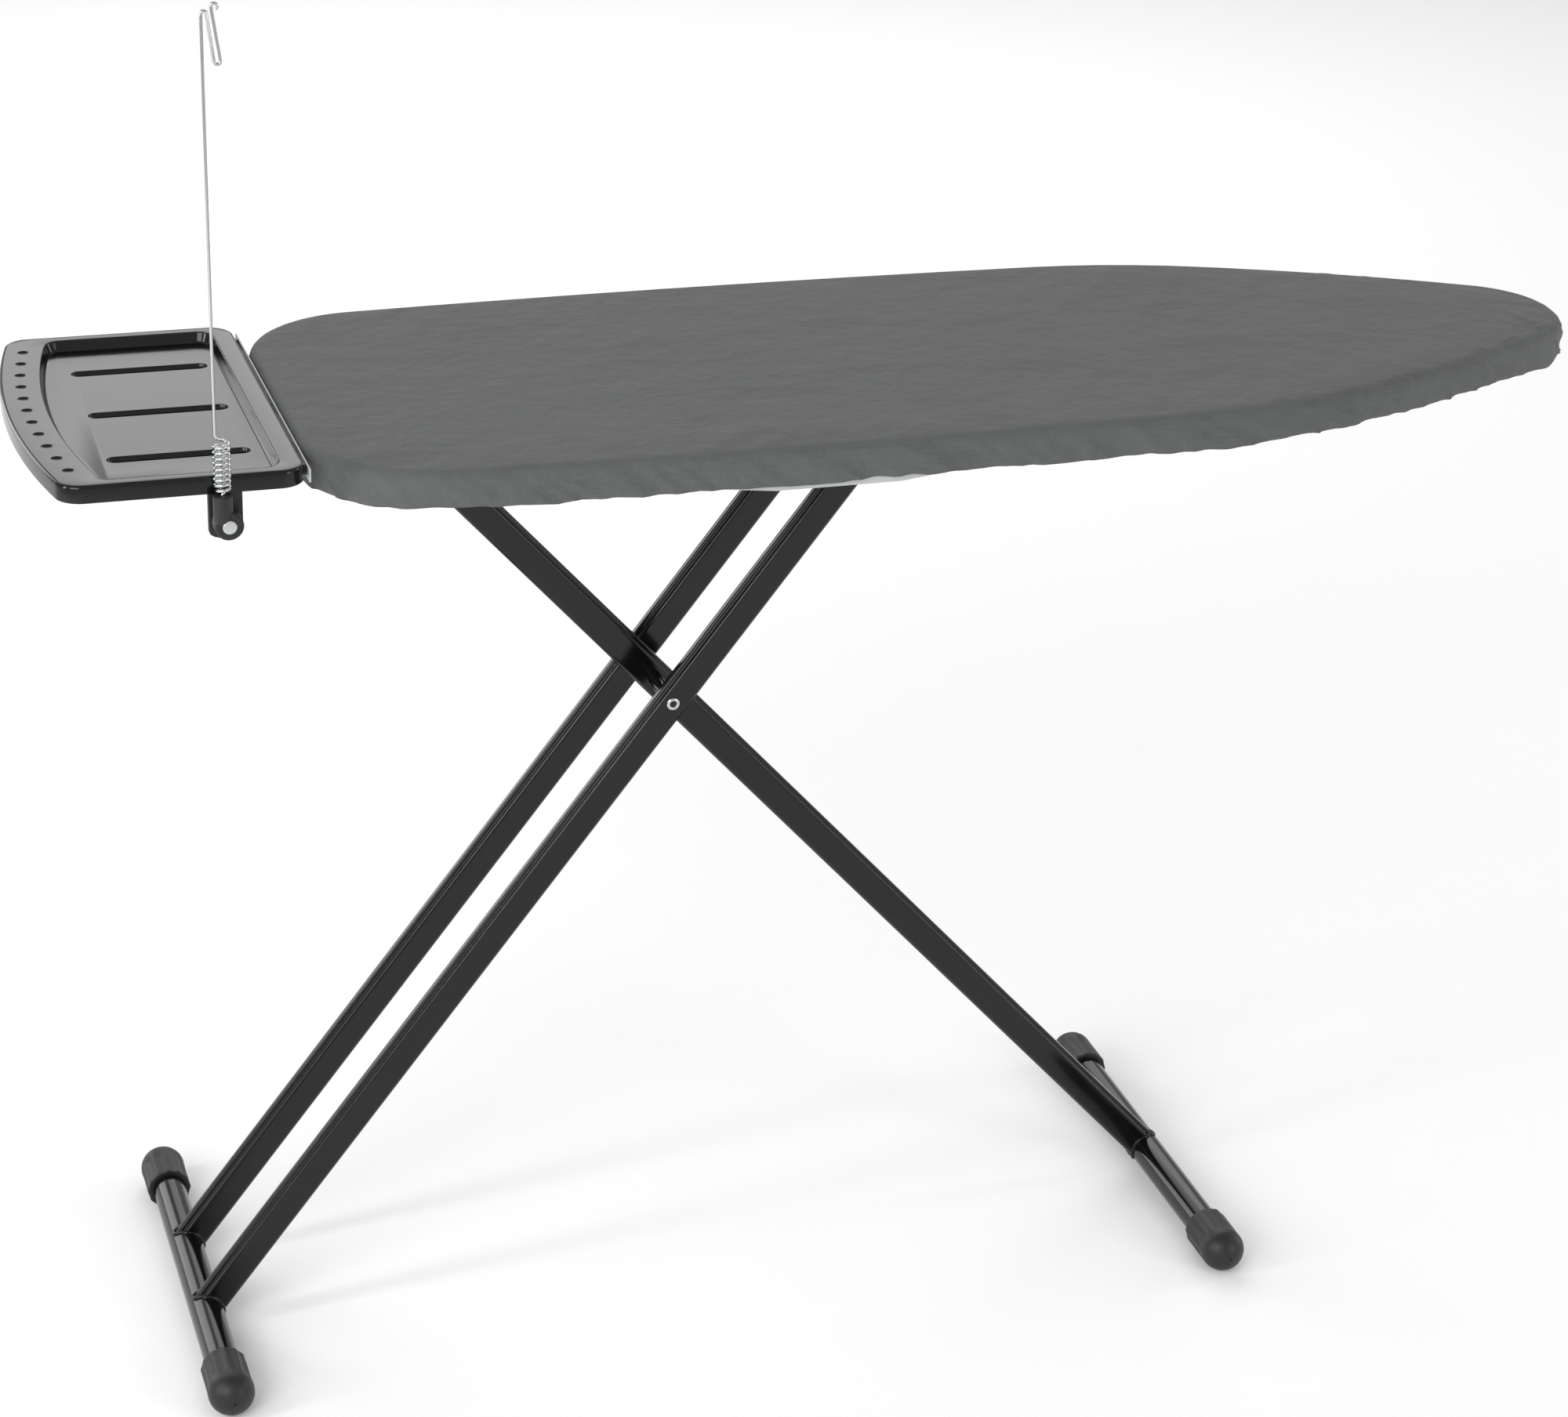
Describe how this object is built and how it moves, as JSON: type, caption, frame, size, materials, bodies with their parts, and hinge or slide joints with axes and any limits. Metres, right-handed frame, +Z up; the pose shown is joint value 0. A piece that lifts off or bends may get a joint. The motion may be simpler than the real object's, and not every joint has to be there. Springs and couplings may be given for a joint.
{
  "type": "ironing board",
  "caption": "Folding ironing board with a padded tapered top, pressed steel iron rest, sprung wire cord holder and scissor legs on round foot bars.",
  "frame": {"origin": "on the floor, under the middle of the whole length, on the centre plane", "axes": "+X from the iron rest to the nose, +Z up, -Y the side with the cord holder"},
  "size_m": [1.441, 0.452, 1.2772],
  "materials": {
    "cover_cotton": "plain-weave cotton, matt",
    "felt": "needled felt",
    "grey_steel": "light grey powder coat, satin",
    "black_steel": "black powder coat, semi-gloss",
    "black_plastic": "moulded, fine satin",
    "zinc_steel": "bright zinc plate",
    "wire_steel": "bright drawn wire"
  },
  "bodies": {
    "board": {"cover": "cover_cotton", "pad": "felt", "deck": "grey_steel", "tray": "black_steel", "tray_mount_plate": "grey_steel", "tray_arm_near": "black_steel", "tray_arm_far": "black_steel", "tray_rivet_near": "black_steel", "tray_rivet_far": "black_steel", "arm_bolt_near": "zinc_steel", "arm_bolt_far": "zinc_steel", "slide_rail_near": "grey_steel", "slide_rail_far": "grey_steel", "leg_bracket": "grey_steel", "leg_hinge_pin": "zinc_steel", "release_bracket_inner": "grey_steel", "release_bracket_outer": "grey_steel", "release_spring": "zinc_steel", "cord_bracket": "black_plastic", "cord_bracket_bolt": "zinc_steel", "cord_pin": "zinc_steel"},
    "inner_leg_frame": {"inner_leg": "black_steel", "nose_foot_bar": "black_steel", "nose_foot_cap_near": "black_plastic", "nose_foot_cap_far": "black_plastic", "pivot_spacer_near": "black_steel", "pivot_spacer_far": "black_steel"},
    "outer_leg_frame": {"tail_foot_bar": "black_steel", "outer_leg_near": "black_steel", "tail_foot_cap_near": "black_plastic", "slide_glide_near": "black_plastic", "outer_leg_far": "black_steel", "tail_foot_cap_far": "black_plastic", "slide_glide_far": "black_plastic", "slide_axle": "zinc_steel", "pivot_rivet": "zinc_steel"},
    "height_release": {"release_shaft": "zinc_steel", "height_rack": "zinc_steel", "release_arm": "zinc_steel", "release_grip": "black_plastic"},
    "cord_holder": {"cord_arm": "black_plastic", "cord_wire": "wire_steel"}
  },
  "joints": [
    {"name": "leg_fold", "type": "hinge", "parent": "board", "child": "inner_leg_frame", "pos_m": [-0.39413, 0, 0.855], "axis": [0, -1, 0], "range_deg": [0, 44.9]},
    {"name": "leg_cross", "type": "hinge", "parent": "inner_leg_frame", "child": "outer_leg_frame", "pos_m": [-0.1526, 0, 0.59146], "axis": [0, 1, 0], "range_deg": [0, 94.7]},
    {"name": "release_turn", "type": "hinge", "parent": "board", "child": "height_release", "pos_m": [0.33335, -0.09, 0.855], "axis": [0, -1, 0], "range_deg": [0, 6], "stiffness_Nm_per_rad": 3, "springref_deg": -11.46},
    {"name": "cord_swing", "type": "hinge", "parent": "board", "child": "cord_holder", "pos_m": [-0.5675, -0.2, 0.85], "axis": [0, -1, 0], "range_deg": [0, 180]}
  ],
  "couplings": [
    {"joint": "leg_cross", "follows": "leg_fold", "ratio": 2.1078}
  ]
}
